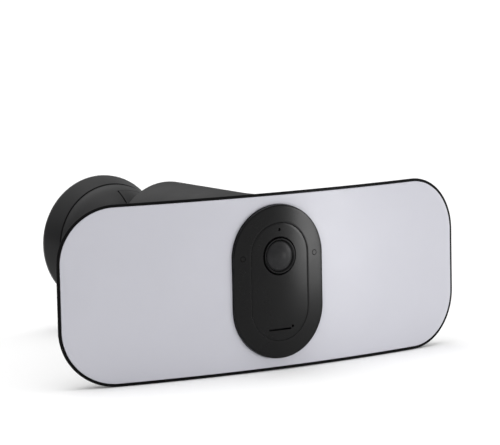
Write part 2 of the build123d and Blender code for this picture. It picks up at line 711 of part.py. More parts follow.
with BuildPart() as swivel_head:
    add(block((SLOT_LEFT - EAR_T, SLOT_LEFT), (-90, SEAM_Y + 1), (-60, 60)))
    add(block((SLOT_RIGHT, SLOT_RIGHT + EAR_T), (-90, SEAM_Y + 1), (-60, 60)))
    add(cross_bar(BOSS_R, -50, SLOT_LEFT))
    add(cross_bar(BOSS_R, SLOT_RIGHT, 50))
    add(hemisphere(HEAD_FLANGE_R - 0.2, SEAM_Y + 1), mode=Mode.INTERSECT)
    add(hemisphere(HEAD_R, SEAM_Y + 0.01) - hemisphere(HEAD_R - HEAD_WALL, SEAM_Y + 1))
    add(disc(0, 0, HEAD_FLANGE_R, SEAM_Y, HEAD_BACK))
    with BuildSketch(Plane.YZ.offset(SLOT_LEFT)):
        with BuildLine():
            Polyline(
                (TILT_Y + BAND_GAP, 0),
                ray_point(TONGUE_TOP, 80, BAND_GAP),
                (-90, 80),
                (-90, -80),
                (SEAM_Y - 0.5, -80),
                (SEAM_Y - 0.5, 0),
                close=True,
            )
        make_face()
    extrude(amount=SLOT_RIGHT - SLOT_LEFT, mode=Mode.SUBTRACT)
    fillet(rim_arcs(swivel_head, SLOT_LEFT, HEAD_R) + rim_arcs(swivel_head, SLOT_RIGHT, HEAD_R), 1.0)
    add(cross_bar(HUB_R + 1, SLOT_LEFT, SLOT_RIGHT), mode=Mode.SUBTRACT)
    add(cross_bar(PIN_R + 0.02, -34, 60), mode=Mode.SUBTRACT)
    add(cross_bar(PLUG_R, PIN_SEAT_X, 60), mode=Mode.SUBTRACT)
    add(disc(0, 0, 7.02, SEAM_Y + 1.4, 0), mode=Mode.SUBTRACT)
save(swivel_head, "swivel_head")

with BuildPart() as hinge_pin:
    add(cross_bar(PIN_R, -33.8, PIN_SEAT_X + 0.1))
    add(cross_bar(PLUG_R - 0.4, PIN_SEAT_X + 0.1, PIN_SEAT_X + 4.6))
    with BuildSketch(Plane.YZ.offset(PIN_SEAT_X + 4.6)):
        with Locations((TILT_Y, 0)):
            RegularPolygon(3.2, 6)
    extrude(amount=-3.0, mode=Mode.SUBTRACT)
save(hinge_pin, "hinge_pin")

with BuildPart() as hinge_plug:
    add(cross_bar(PLUG_R - 0.1, 40, 60))
    add(hemisphere(HEAD_R, SEAM_Y + 1), mode=Mode.INTERSECT)
save(hinge_plug, "hinge_plug")

with BuildPart() as swivel_shaft:
    add(disc(0, 0, 7.0, SEAM_Y + 1.5, -6.0))
save(swivel_shaft, "swivel_shaft")

with BuildPart() as wave_washer:
    add(disc(0, 0, 13.0, -11.9, -10.7))
    add(disc(0, 0, 7.15, -15, -8), mode=Mode.SUBTRACT)
save(wave_washer, "wave_washer")

with BuildPart() as swivel_nut:
    with BuildSketch(at_y(-10.6)):
        RegularPolygon(12.0, 6)
        Circle(7.02, mode=Mode.SUBTRACT)
    extrude(amount=-5.0)
save(swivel_nut, "swivel_nut")

# ================================================================ wall base
with BuildPart() as base_ring:
    with BuildSketch(Plane.YZ):
        with BuildLine():
            Polyline(
                (SEAM_Y + 0.6, BASE_FRONT_R),
                (SEAM_Y + 0.6, HEAD_FLANGE_R + 0.4),
                (-16.0, HEAD_FLANGE_R + 0.4),
                (-16.0, 10.05),
                (-12.0, 10.05),
                (-12.0, BASE_FRONT_R - 0.6),
                (-1.0, BASE_REAR_R - 3.2),
                (-1.0, BASE_REAR_R),
                (-4.0, BASE_REAR_R),
                close=True,
            )
        make_face()
    revolve(axis=Axis.Y)
    outer_rim = base_ring.edges().filter_by(GeomType.CIRCLE).sort_by(SortBy.RADIUS)[-2:]
    fillet(outer_rim, 1.2)
save(base_ring, "base_ring")

with BuildPart() as swivel_bush:
    add(disc(0, 0, 10.0, -16.0, -12.0))
    add(disc(0, 0, 15.0, -17.2, -16.0))
    add(disc(0, 0, 7.0 + RUN_GAP, -20, -8), mode=Mode.SUBTRACT)
save(swivel_bush, "swivel_bush")

PLATE_R = 50.0
with BuildPart() as wall_plate:
    add(disc(0, 0, PLATE_R, -3.0, 0))
    add(disc(0, 0, 13.5, -4, 1), mode=Mode.SUBTRACT)
    with BuildSketch(at_y(-4)):
        with PolarLocations(STUD_CIRCLE_R, 4, start_angle=45):
            Circle(STUD_HOLE_R)
    extrude(amount=-5, mode=Mode.SUBTRACT)
    with BuildSketch(at_y(-11.7)):
        with PolarLocations(43, 3, start_angle=90):
            RectangleRounded(8, 12, 1.5)
    extrude(amount=-9)
save(wall_plate, "wall_plate")

with BuildPart() as wall_gasket:
    add(disc(0, 0, 53.0, -2.5, 0))
    add(disc(0, 0, PLATE_R + 0.1, -4, 1), mode=Mode.SUBTRACT)
save(wall_gasket, "wall_gasket")
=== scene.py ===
import json
from math import asin, cos, hypot, pi, radians, sin, sqrt

import bmesh
import bpy
from mathutils import Matrix, Vector


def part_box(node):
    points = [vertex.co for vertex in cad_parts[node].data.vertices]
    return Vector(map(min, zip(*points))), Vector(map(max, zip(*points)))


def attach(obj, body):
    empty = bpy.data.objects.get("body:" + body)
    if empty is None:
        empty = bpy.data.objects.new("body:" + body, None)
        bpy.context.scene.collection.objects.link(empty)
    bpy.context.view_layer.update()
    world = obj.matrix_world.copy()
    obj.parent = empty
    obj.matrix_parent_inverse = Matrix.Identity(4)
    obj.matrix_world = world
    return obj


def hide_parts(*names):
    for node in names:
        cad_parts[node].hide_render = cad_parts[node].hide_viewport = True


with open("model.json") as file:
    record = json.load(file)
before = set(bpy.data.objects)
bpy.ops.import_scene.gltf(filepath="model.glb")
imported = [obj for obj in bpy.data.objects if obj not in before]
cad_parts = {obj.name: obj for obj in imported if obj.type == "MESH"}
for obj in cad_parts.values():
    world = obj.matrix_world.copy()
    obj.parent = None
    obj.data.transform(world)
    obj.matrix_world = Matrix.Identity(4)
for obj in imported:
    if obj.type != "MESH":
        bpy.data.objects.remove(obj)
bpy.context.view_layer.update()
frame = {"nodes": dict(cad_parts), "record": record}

# A wall-mounted floodlight with a camera in its panel. Metres. +Z is up, the wall is at y = 0
# and the panel faces -Y. "Depth" is how far a surface lies behind the panel's bent front.

MM = 0.001

# ---------------------------------------------------------------- sizes, the outer ones from the frame
bezel_low, bezel_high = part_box("front_bezel")
PANEL_HALF_W = bezel_high.x
PANEL_HALF_H = (bezel_high.z - bezel_low.z) / 2
PANEL_Z = (bezel_high.z + bezel_low.z) / 2
PANEL_FRONT = bezel_low.y
PANEL_CORNER = 45.5 * MM
BEND_R = 810 * MM         # radius of the panel's bend about an upright axis
BEND_Y = PANEL_FRONT + BEND_R
LIP = 2.2 * MM            # width of the black lip round the diffuser
DIFFUSER_T = 1.6 * MM
LEDGE_T = 2.6 * MM        # depth of the bezel's ledge, where the rear shell starts
SHELL_INSET = 2.5 * MM
SHELL_T = 2.5 * MM
REAR_D = 16 * MM          # depth of the panel's back
REAR_ROUND = 13 * MM
HOLLOW_INSET = 4.8 * MM   # the rear shell's inside
HOLLOW_ROUND = 9 * MM

MODULE_HALF_W = 40.95 * MM
MODULE_HALF_H = 61.1 * MM
MODULE_R = 400 * MM       # radius of the face's sideways bulge
MODULE_PROUD = 3.8 * MM
MODULE_Y = PANEL_FRONT - MODULE_PROUD + MODULE_R
WINDOW_HALF_W = 26 * MM
WINDOW_HALF_H = 47 * MM
LENS_Z = PANEL_Z + 20.5 * MM
SENSOR_Z = PANEL_Z + 41.5 * MM
IR_X = 33 * MM
SLOT_X = -1 * MM
SLOT_Z = PANEL_Z - 37.9 * MM
MIC_X = 10.9 * MM
MIC_Z = PANEL_Z - 36.3 * MM
LENS_R = 11.75 * MM
BORE_FRONT = PANEL_FRONT - 9 * MM    # where cutters through the face start, well in front of it
BORE_BACK = PANEL_FRONT + 4 * MM     # and where those through its window end

barrel_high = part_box("barrel_shell")[1]
BARREL_R = barrel_high.x
BARREL_Z = barrel_high.z - BARREL_R
BARREL_REAR = barrel_high.y
BARREL_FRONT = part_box("barrel_collar")[1].y
BARREL_AXIS = Vector((0, 0, BARREL_Z))
INNER_R = BARREL_R - SHELL_T

POD_HALF_W = 85 * MM
POD_LOW = -61 * MM
POD_HIGH = BARREL_Z + BARREL_R
POD_ROUND = 50 * MM
POD_BASE_Y = PANEL_FRONT + 8 * MM
POD_FOOT = 5 * MM         # reach of the hollow curve where the pod stands on the panel's back

pack_low, pack_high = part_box("battery_cover")
COVER_ROUND = 5 * MM
RELEASE_Y = -135 * MM
SYNC_Y = -225.5 * MM
LED_PIPE_X = 13 * MM

HAIRLINE = 0.12 * MM      # what shows of a joint between two casings

LOOP = 384                # points round each outline of the panel
ROUND = 160               # points round each turned piece
MERGE = 0.002 * MM        # points closer than this become one
SHARP = radians(32)       # edges steeper than this stay sharp


# ---------------------------------------------------------------- outlines and surfaces
def rounded_outline(half_w, half_h, corner, count=LOOP, centre_z=PANEL_Z):
    """Points evenly spaced round a rounded rectangle, each quarter starting on an axis."""
    corner = min(corner, half_w, half_h)
    side, turn, top = half_h - corner, corner * pi / 2, half_w - corner
    quarter = []
    for i in range(count // 4):
        s = (side + turn + top) * i / (count // 4)
        if s < side:
            quarter.append((half_w, s))
        elif s < side + turn:
            a = (s - side) / corner
            quarter.append((top + corner * cos(a), side + corner * sin(a)))
        else:
            quarter.append((top - (s - side - turn), half_h))
    upper = quarter + [(0.0, half_h)] + [(-x, z) for x, z in quarter[:0:-1]]
    lower = [(-x, -z) for x, z in upper]
    return [(x, z + centre_z) for x, z in upper + lower]


def panel_outline(inset):
    """The light panel's outline, drawn in by an inset."""
    return rounded_outline(PANEL_HALF_W - inset, PANEL_HALF_H - inset, PANEL_CORNER - inset)


def stadium(half_w, half_h, inset):
    """An upright outline with round ends, drawn in by an inset."""
    return rounded_outline(half_w - inset, half_h - inset, half_w - inset)


def bend_y(x, depth):
    """Where the bent panel's surface at a depth lies, at a distance x from its middle."""
    return BEND_Y - sqrt((BEND_R - depth) ** 2 - x * x)


def on_bend(outline, depth):
    """An outline laid on the bent panel's surface at a depth."""
    return [Vector((x, bend_y(x, depth), z)) for x, z in outline]


def on_bulge(outline, drop):
    """An outline laid on the camera module's bulging front, sunk by a drop."""
    return [Vector((x, MODULE_Y - sqrt((MODULE_R - drop) ** 2 - x * x), z)) for x, z in outline]


def at_y(outline, y):
    """An outline laid flat, parallel to the wall."""
    return [Vector((x, y, z)) for x, z in outline]


def blend_rings(first, last, steps):
    """Rings between two rings, leaving both ends out."""
    rings = []
    for i in range(1, steps):
        t = i / steps
        rings.append([a.lerp(b, t) for a, b in zip(first, last)])
    return rings


def rounded_edge(radius, steps):
    """Insets and drops of a quarter round edge, from its side to its front."""
    angles = [pi / 2 * i / steps for i in range(steps + 1)]
    return [(radius * (1 - cos(a)), radius * (1 - sin(a))) for a in angles]


def rounded_path(points, radii, steps=5, closed=False):
    """A 2D path with rounded corners, one radius for each point. An open path keeps its ends."""
    path = []
    count = len(points)
    for i, (point, radius) in enumerate(zip(points, radii)):
        corner = Vector(point)
        if radius <= 0 or (not closed and i in (0, count - 1)):
            path.append(corner)
            continue
        into = (Vector(points[i - 1]) - corner).normalized()
        out = (Vector(points[(i + 1) % count]) - corner).normalized()
        half = into.angle(out) / 2
        reach = radius / abs(sin(half) / cos(half))
        centre = corner + (into + out).normalized() * (radius / sin(half))
        start = corner + into * reach - centre
        end = corner + out * reach - centre
        sweep = start.angle(end)
        for k in range(steps + 1):
            t = k / steps
            path.append(centre + (start * sin((1 - t) * sweep) + end * sin(t * sweep)) / sin(sweep))
    return path


# ---------------------------------------------------------------- mesh building
def smooth(mesh):
    """Smooth shading, except across sharp edges."""
    for polygon in mesh.polygons:
        polygon.use_smooth = True
    mesh.set_sharp_from_angle(angle=SHARP)


def new_object(name, mesh_data):
    """A piece made from mesh data and put in the scene."""
    mesh = bpy.data.meshes.new(name)
    mesh_data.to_mesh(mesh)
    mesh_data.free()
    smooth(mesh)
    piece = bpy.data.objects.new(name, mesh)
    bpy.context.scene.collection.objects.link(piece)
    return piece


def tidy(data):
    """Merges doubled points, drops empty faces and turns all faces outwards."""
    bmesh.ops.remove_doubles(data, verts=data.verts, dist=MERGE)
    bmesh.ops.dissolve_degenerate(data, edges=data.edges, dist=MERGE / 4)
    bmesh.ops.recalc_face_normals(data, faces=data.faces)


def ring_solid(name, rings, loop=False):
    """Skins a row of rings. With loop the last ring joins the first, else both ends are capped."""
    data = bmesh.new()
    rows = [[data.verts.new(p) for p in ring] for ring in rings]
    pairs = list(zip(rows, rows[1:]))
    if loop:
        pairs.append((rows[-1], rows[0]))
    for a, b in pairs:
        for i in range(len(a)):
            j = (i + 1) % len(a)
            data.faces.new((a[i], a[j], b[j], b[i]))
    if not loop:
        data.faces.new(rows[0][::-1])
        data.faces.new(rows[-1])
    tidy(data)
    return new_object(name, data)


AXES = {    # an axis, and the two directions that span the plane across it
    "Y": (Vector((0, 1, 0)), Vector((0, 0, 1)), Vector((1, 0, 0))),
    "Z": (Vector((0, 0, 1)), Vector((1, 0, 0)), Vector((0, 1, 0))),
}


def turned(name, origin, axis, profile, loop=True, count=ROUND):
    """A turned piece. The profile holds (radius, distance along the axis from the origin)."""
    along, side, up = AXES[axis]
    rings = []
    for radius, distance in profile:
        radius = max(radius, MERGE / 4)
        ring = []
        for i in range(count):
            a = 2 * pi * i / count
            ring.append(origin + along * distance + (side * cos(a) + up * sin(a)) * radius)
        rings.append(ring)
    return ring_solid(name, rings, loop)


def turned_ring(name, origin, axis, corners, radii, **options):
    """A turned piece with a closed section, given by its corners and their rounding."""
    path = rounded_path(corners, radii, closed=True)
    return turned(name, origin, axis, [(p.x, p.y) for p in path], **options)


def turned_solid(name, origin, axis, corners, radii, **options):
    """A turned piece whose section starts and ends on its axis."""
    path = rounded_path(corners, radii)
    return turned(name, origin, axis, [(p.x, p.y) for p in path], loop=False, **options)


def joined(name, pieces):
    """One object made of several, which are deleted."""
    data = bmesh.new()
    for piece in pieces:
        data.from_mesh(piece.data)
        bpy.data.objects.remove(piece)
    return new_object(name, data)


def cut(piece, cutters):
    """Takes cutters out of a piece for good, and deletes the cutters."""
    cutter = joined("cutter", cutters)
    modifier = piece.modifiers.new("cut", "BOOLEAN")
    modifier.operation = "DIFFERENCE"
    modifier.solver = "EXACT"
    modifier.object = cutter
    graph = bpy.context.evaluated_depsgraph_get()
    mesh = bpy.data.meshes.new_from_object(piece.evaluated_get(graph))
    piece.modifiers.clear()
    old = piece.data
    piece.data = mesh
    bpy.data.meshes.remove(old)
    bpy.data.objects.remove(cutter)
    mesh.name = piece.name
    smooth(mesh)
    return piece


def turned_cutter(origin, axis, profile, count=48):
    """A turned cutter, whose profile starts and ends on its axis."""
    return turned("cutter", origin, axis, profile, loop=False, count=count)


def bar(radius, origin, axis, low, high, count=48):
    """A plain round cutter."""
    return turned_cutter(origin, axis, [(0, low), (radius, low), (radius, high), (0, high)], count)


def screw_well(place, bore, seat, rise, count):
    """A cutter for a screw that faces the wall: a bore, a wider seat above it and a bevelled mouth."""
    bore_r, head_r, mouth_r, bevel = 1.7 * MM, 3.3 * MM, 3.9 * MM, 0.3 * MM
    profile = [(0, -bore), (bore_r, -bore), (bore_r, -seat), (head_r, -seat)]
    profile += [(head_r, -bevel), (mouth_r, bevel), (mouth_r, rise), (0, rise)]
    return turned_cutter(place, "Y", profile, count)


def finish_piece(piece, body, slot, node):
    """Gives a piece its body and its slot's material, and hides the CAD node that it stands for."""
    piece.data.materials.clear()
    piece.data.materials.append(MATERIALS[slot])
    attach(piece, body)
    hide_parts(node)


# ---------------------------------------------------------------- camera and studio
CAMERA_AZIMUTH = radians(-30.94)
CAMERA_ELEVATION = radians(6.97)
CAMERA_ROLL = radians(-1.2)
CAMERA_DISTANCE = 2.009
CAMERA_SIDE_STEP = -0.02196
CAMERA_RISE = 0.04626
LENS_MM = 183.46
SENSOR_MM = 36
FLOOR_Z = bezel_low.z - 0.3 * MM
FLOOR_X = (-24.0, 0.0, 24.0)
FLOOR_Y = (-8.0, 0.0, 8.0, 30.0)


def make_camera():
    """A long lens, looking at the panel from its left and a little from above."""
    back = Vector((sin(CAMERA_AZIMUTH) * cos(CAMERA_ELEVATION),
                   -cos(CAMERA_AZIMUTH) * cos(CAMERA_ELEVATION),
                   sin(CAMERA_ELEVATION)))
    right = Vector((cos(CAMERA_AZIMUTH), sin(CAMERA_AZIMUTH), 0))
    up = back.cross(right)
    turned_right = right * cos(CAMERA_ROLL) + up * sin(CAMERA_ROLL)
    turned_up = up * cos(CAMERA_ROLL) - right * sin(CAMERA_ROLL)
    panel_centre = Vector((0, PANEL_FRONT, PANEL_Z))
    place = panel_centre + back * CAMERA_DISTANCE
    place += turned_right * CAMERA_SIDE_STEP + turned_up * CAMERA_RISE
    data = bpy.data.cameras.new("camera")
    data.lens = LENS_MM
    data.sensor_width = SENSOR_MM
    data.clip_end = 100
    camera = bpy.data.objects.new("camera", data)
    rotation = Matrix((turned_right, turned_up, back)).transposed()
    camera.matrix_world = Matrix.Translation(place) @ rotation.to_4x4()
    bpy.context.scene.collection.objects.link(camera)
    bpy.context.scene.camera = camera


def make_low_lamp():
    """A small lamp near the floor, which brightens the right half of the diffuser."""
    place = Vector((0.3175, -0.6355, -0.01))
    target = Vector((0.018, -0.303, -0.01))
    data = bpy.data.lights.new("low_lamp", "AREA")
    data.shape = "RECTANGLE"
    data.size, data.size_y = 0.094, 0.12
    data.energy = 0.065
    data.spread = radians(70)
    light = bpy.data.objects.new("low_lamp", data)
    light.location = place
    light.rotation_euler = (place - target).to_track_quat("Z", "Y").to_euler()
    bpy.context.scene.collection.objects.link(light)


GLOW = 0.02     # even light from all sides
SOFTBOXES = (   # direction, how tightly it gathers, brightness
    ((0.0, 0.0, 1.0), 3, 0.5),
    ((0.0, 0.0, 1.0), 12, 2.2),
    ((1.0, 0.0, 0.2), 6, 2.9),
    ((0.0, -1.0, 0.1), 6, 0.8),
    ((-0.7, 0.7, 0.2), 6, 0.4),
    ((-0.7, 0.0, 0.7), 6, 1.5),
    ((0.0, 0.7, 0.7), 6, 1.0),
)


def make_world():
    """An even glow with broad soft lobes of light, the studio's lamps."""
    world = bpy.data.worlds.new("studio")
    world.use_nodes = True
    bpy.context.scene.world = world
    tree = world.node_tree
    background = tree.nodes["Background"]
    background.inputs["Color"].default_value = (1, 1, 1, 1)
    coordinates = tree.nodes.new("ShaderNodeTexCoord")

    def maths(operation, first, second):
        node = tree.nodes.new("ShaderNodeMath")
        node.operation = operation
        tree.links.new(first, node.inputs[0])
        if isinstance(second, (int, float)):
            node.inputs[1].default_value = second
        else:
            tree.links.new(second, node.inputs[1])
        return node.outputs[0]

    total = None
    for direction, power, brightness in SOFTBOXES:
        facing = tree.nodes.new("ShaderNodeVectorMath")
        facing.operation = "DOT_PRODUCT"
        tree.links.new(coordinates.outputs["Generated"], facing.inputs[0])
        facing.inputs[1].default_value = Vector(direction).normalized()
        lobe = maths("POWER", maths("MAXIMUM", facing.outputs["Value"], 0), power)
        lobe = maths("MULTIPLY", lobe, brightness)
        total = maths("ADD", lobe, GLOW if total is None else total)
    tree.links.new(total, background.inputs["Strength"])


def make_floor():
    """A wide pale sheet, just under the panel's lowest edge."""
    data = bmesh.new()
    rows = [[data.verts.new((x, y, FLOOR_Z)) for x in FLOOR_X] for y in FLOOR_Y]
    for a, b in zip(rows, rows[1:]):
        for i in range(len(FLOOR_X) - 1):
            data.faces.new((a[i], a[i + 1], b[i + 1], b[i]))
    floor = new_object("floor", data)
    floor.data.materials.append(paper("floor_paper", (0.93, 0.93, 0.93)))


# ---------------------------------------------------------------- materials
def noise(tree, size, detail=3.0, rough=0.55):
    """Noise with features of about a given size, fixed to the piece."""
    coordinates = tree.nodes.new("ShaderNodeTexCoord")
    texture = tree.nodes.new("ShaderNodeTexNoise")
    texture.inputs["Scale"].default_value = 1 / size
    texture.inputs["Detail"].default_value = detail
    texture.inputs["Roughness"].default_value = rough
    tree.links.new(coordinates.outputs["Object"], texture.inputs["Vector"])
    return texture


def spread(tree, source, low, high):
    """Maps a texture's middle range onto low to high."""
    node = tree.nodes.new("ShaderNodeMapRange")
    node.inputs["From Min"].default_value = 0.3
    node.inputs["From Max"].default_value = 0.7
    node.inputs["To Min"].default_value = low
    node.inputs["To Max"].default_value = high
    tree.links.new(source, node.inputs["Value"])
    return node.outputs["Result"]


def vary_roughness(tree, shader, texture, low, high):
    """Lets a texture move the roughness between low and high."""
    tree.links.new(spread(tree, texture.outputs["Fac"], low, high), shader.inputs["Roughness"])


def new_material(name):
    """A material with its node tree and its main shader."""
    material = bpy.data.materials.new(name)
    material.use_nodes = True
    return material, material.node_tree, material.node_tree.nodes["Principled BSDF"]


def grain_bump(tree, shader, size, depth):
    """Fine grain of about a given size and depth, as bump."""
    texture = noise(tree, size, 2.0)
    bump = tree.nodes.new("ShaderNodeBump")
    bump.inputs["Strength"].default_value = 1.0
    bump.inputs["Distance"].default_value = depth
    tree.links.new(texture.outputs["Fac"], bump.inputs["Height"])
    tree.links.new(bump.outputs["Normal"], shader.inputs["Normal"])


def tone(tree, shader, colour, change, size):
    """A base colour that drifts a little, darker and lighter, over a given size."""
    texture = noise(tree, size, 4.0)
    mix = tree.nodes.new("ShaderNodeMix")
    mix.data_type = "RGBA"
    mix.inputs["A"].default_value = (*[c * (1 - change) for c in colour], 1)
    mix.inputs["B"].default_value = (*[min(1, c * (1 + change)) for c in colour], 1)
    tree.links.new(spread(tree, texture.outputs["Fac"], 0, 1), mix.inputs["Factor"])
    tree.links.new(mix.outputs["Result"], shader.inputs["Base Color"])


def moulded(name, colour, rough, grain_mm, depth_mm, change=0.12, specular=0.5):
    """Moulded or coated surface: fine grain, with colour and gloss that drift slightly."""
    material, tree, shader = new_material(name)
    shader.inputs["Specular IOR Level"].default_value = specular
    tone(tree, shader, colour, change, 24 * MM)
    smudge = noise(tree, 38 * MM, 5.0, 0.6)
    vary_roughness(tree, shader, smudge, rough - 0.035, rough + 0.035)
    grain_bump(tree, shader, grain_mm * MM, depth_mm * MM)
    return material


def paper(name, colour):
    """The matt studio floor."""
    material, tree, shader = new_material(name)
    shader.inputs["Roughness"].default_value = 0.9
    shader.inputs["Specular IOR Level"].default_value = 0.1
    tone(tree, shader, colour, 0.004, 300 * MM)
    return material


def frosted(name, colour, rough):
    """The diffuser: milky plastic with a faint silky grain."""
    material, tree, shader = new_material(name)
    tone(tree, shader, colour, 0.012, 60 * MM)
    cloud = noise(tree, 25 * MM, 4.0)
    vary_roughness(tree, shader, cloud, rough - 0.03, rough + 0.03)
    shader.inputs["IOR"].default_value = 1.49
    grain_bump(tree, shader, 0.35 * MM, 0.004 * MM)
    return material


def glassy(name, colour, rough, specular=0.5, transmission=0.0):
    """Glass or clear plastic, dark where it lets no light through."""
    material, tree, shader = new_material(name)
    shader.inputs["Specular IOR Level"].default_value = specular
    tone(tree, shader, colour, 0.1, 6 * MM)
    haze = noise(tree, 5 * MM, 3.0)
    vary_roughness(tree, shader, haze, rough, rough + 0.03)
    shader.inputs["Transmission Weight"].default_value = transmission
    return material


LINES = (200, 9000, 9000)    # how often a brushed surface changes in each metre along X, Y and Z


def brushed(name, colour, rough, metal=1.0):
    """Bare or blackened metal with fine lines."""
    material, tree, shader = new_material(name)
    shader.inputs["Metallic"].default_value = metal
    tone(tree, shader, colour, 0.08, 8 * MM)
    coordinates = tree.nodes.new("ShaderNodeTexCoord")
    stretch = tree.nodes.new("ShaderNodeMapping")
    stretch.inputs["Scale"].default_value = LINES
    texture = tree.nodes.new("ShaderNodeTexNoise")
    texture.inputs["Scale"].default_value = 1.0
    tree.links.new(coordinates.outputs["Object"], stretch.inputs["Vector"])
    tree.links.new(stretch.outputs["Vector"], texture.inputs["Vector"])
    vary_roughness(tree, shader, texture, rough - 0.06, rough + 0.06)
    return material


def circuit(name):
    """Green solder mask with lighter green tracks under it."""
    material, tree, shader = new_material(name)
    coordinates = tree.nodes.new("ShaderNodeTexCoord")
    texture = tree.nodes.new("ShaderNodeTexVoronoi")
    texture.feature = "DISTANCE_TO_EDGE"
    texture.inputs["Scale"].default_value = 1 / (5 * MM)
    tree.links.new(coordinates.outputs["Object"], texture.inputs["Vector"])
    ramp = tree.nodes.new("ShaderNodeValToRGB")
    ramp.color_ramp.elements[0].position = 0.04
    ramp.color_ramp.elements[0].color = (0.03, 0.17, 0.07, 1)
    ramp.color_ramp.elements[1].position = 0.06
    ramp.color_ramp.elements[1].color = (0.012, 0.085, 0.035, 1)
    tree.links.new(texture.outputs["Distance"], ramp.inputs["Fac"])
    tree.links.new(ramp.outputs["Color"], shader.inputs["Base Color"])
    haze = noise(tree, 10 * MM)
    vary_roughness(tree, shader, haze, 0.3, 0.4)
    return material


BLACK = (0.009, 0.009, 0.0095)
FACE_BLACK = (0.004, 0.004, 0.0042)
MATERIALS = {
    "mount_black": moulded("mount_black", BLACK, 0.34, 0.6, 0.01, specular=0.15),
    "mount_metal": moulded("mount_metal", BLACK, 0.34, 0.7, 0.012, specular=0.15),
    "case_black": moulded("case_black", BLACK, 0.34, 0.6, 0.01, specular=0.13),
    "rim_black": moulded("rim_black", (0.003, 0.003, 0.0032), 0.35, 0.3, 0.004, specular=0.06),
    "face_black": moulded("face_black", FACE_BLACK, 0.2, 0.35, 0.002, 0.06, specular=0.14),
    "window_black": moulded("window_black", FACE_BLACK, 0.2, 0.3, 0.002, 0.05, specular=0.14),
    "ring_black": moulded("ring_black", (0.004, 0.004, 0.0043), 0.3, 0.3, 0.003, specular=0.2),
    "cell_black": moulded("cell_black", (0.012, 0.012, 0.0125), 0.5, 0.5, 0.01, specular=0.3),
    "chip_black": moulded("chip_black", (0.025, 0.025, 0.027), 0.55, 0.2, 0.006),
    "seal_rubber": moulded("seal_rubber", (0.02, 0.02, 0.02), 0.7, 0.4, 0.012),
    "button_rubber": moulded("button_rubber", (0.011, 0.011, 0.0115), 0.6, 0.35, 0.01, specular=0.3),
    "nylon": moulded("nylon", (0.7, 0.69, 0.64), 0.5, 0.5, 0.006, 0.04),
    "tray_white": moulded("tray_white", (0.86, 0.86, 0.86), 0.5, 0.5, 0.005, 0.02),
    "led": moulded("led", (0.85, 0.78, 0.42), 0.35, 0.3, 0.004, 0.05),
    "diffuser": frosted("diffuser", (0.56, 0.56, 0.612), 0.38),
    "lens_glass": glassy("lens_glass", (0.022, 0.022, 0.023), 0.36, specular=0.12),
    "dark_glass": glassy("dark_glass", (0.003, 0.003, 0.003), 0.22, specular=0.16),
    "clear_glass": glassy("clear_glass", (0.8, 0.82, 0.85), 0.05, transmission=0.9),
    "bright_steel": brushed("bright_steel", (0.56, 0.56, 0.58), 0.32),
    "plate_steel": brushed("plate_steel", (0.5, 0.51, 0.53), 0.4),
    "screw_black": brushed("screw_black", (0.035, 0.035, 0.04), 0.38, 0.6),
    "heat_aluminium": brushed("heat_aluminium", (0.7, 0.71, 0.72), 0.42),
    "contact_brass": brushed("contact_brass", (0.75, 0.55, 0.25), 0.25),
    "circuit_board": circuit("circuit_board"),
}


def dress_cad_nodes():
    """Every CAD node gets its slot's material."""
    for part in frame["record"]["subparts"]:
        node = frame["nodes"][part["node"]]
        node.data.materials.clear()
        node.data.materials.append(MATERIALS[part["material_slot"]])


# ---------------------------------------------------------------- light panel
def make_bezel():
    """The black lip round the diffuser, with its ledge and the skirt that plugs the rear shell."""
    step, skirt_out, skirt_in, skirt_back = 1.6 * MM, 5.4 * MM, 6.6 * MM, 5 * MM
    corners = [
        (LIP, 0), (0, 0), (0, DIFFUSER_T), (step, DIFFUSER_T), (step, LEDGE_T), (skirt_out, LEDGE_T),
        (skirt_out, skirt_back), (skirt_in, skirt_back), (skirt_in, DIFFUSER_T), (LIP, DIFFUSER_T),
    ]
    radii = [radius * MM for radius in (0.35, 0.8, 0.3, 0.2, 0.2, 0.2, 0.3, 0.3, 0.15, 0.1)]
    section = rounded_path(corners, radii, closed=True)
    rings = [on_bend(panel_outline(inset), depth) for inset, depth in section]
    bezel = ring_solid("bezel_ring", rings, loop=True)
    finish_piece(bezel, "lamp", "rim_black", "front_bezel")


def make_diffuser():
    """One milky sheet from the lip to the camera module, bent with the panel."""
    outer = LIP + HAIRLINE
    edge = 0.3 * MM
    hole = -HAIRLINE
    front_outer = on_bend(panel_outline(outer + edge), 0)
    front_inner = on_bend(module_outline(hole - edge), 0)
    rings = [on_bend(panel_outline(outer), DIFFUSER_T), on_bend(panel_outline(outer), edge)]
    rings += [on_bend(panel_outline(outer + edge * 0.3), edge * 0.3), front_outer]
    flat = [[(p.x, p.z) for p in ring] for ring in blend_rings(front_outer, front_inner, 24)]
    rings += [on_bend(outline, 0) for outline in flat]
    rings += [front_inner, on_bend(module_outline(hole), edge), on_bend(module_outline(hole), DIFFUSER_T)]
    back = [on_bend(outline, DIFFUSER_T) for outline in flat[::-2]]
    diffuser = ring_solid("diffuser_sheet", rings + back, loop=True)
    finish_piece(diffuser, "lamp", "diffuser", "light_diffuser")


def panel_inset(x, z):
    """How far inside the panel's outline a point lies."""
    qx = abs(x) - (PANEL_HALF_W - PANEL_CORNER)
    qz = abs(z - PANEL_Z) - (PANEL_HALF_H - PANEL_CORNER)
    outside = hypot(max(qx, 0), max(qz, 0))
    return PANEL_CORNER - outside - min(max(qx, qz), 0)


def dish_depth(inset, back, rounding):
    """Depth of the rear shell's rounded back at an inset from its outline."""
    if inset >= rounding:
        return back
    return back - rounding + sqrt(max(rounding**2 - (rounding - inset) ** 2, 0))


def dish_point(x, z, back=REAR_D, rounding=REAR_ROUND, shift=SHELL_INSET):
    """A point of the panel's rounded back. shift draws the whole dish in."""
    depth = dish_depth(panel_inset(x, z) - shift, back, rounding)
    return Vector((x, bend_y(x, depth), z))


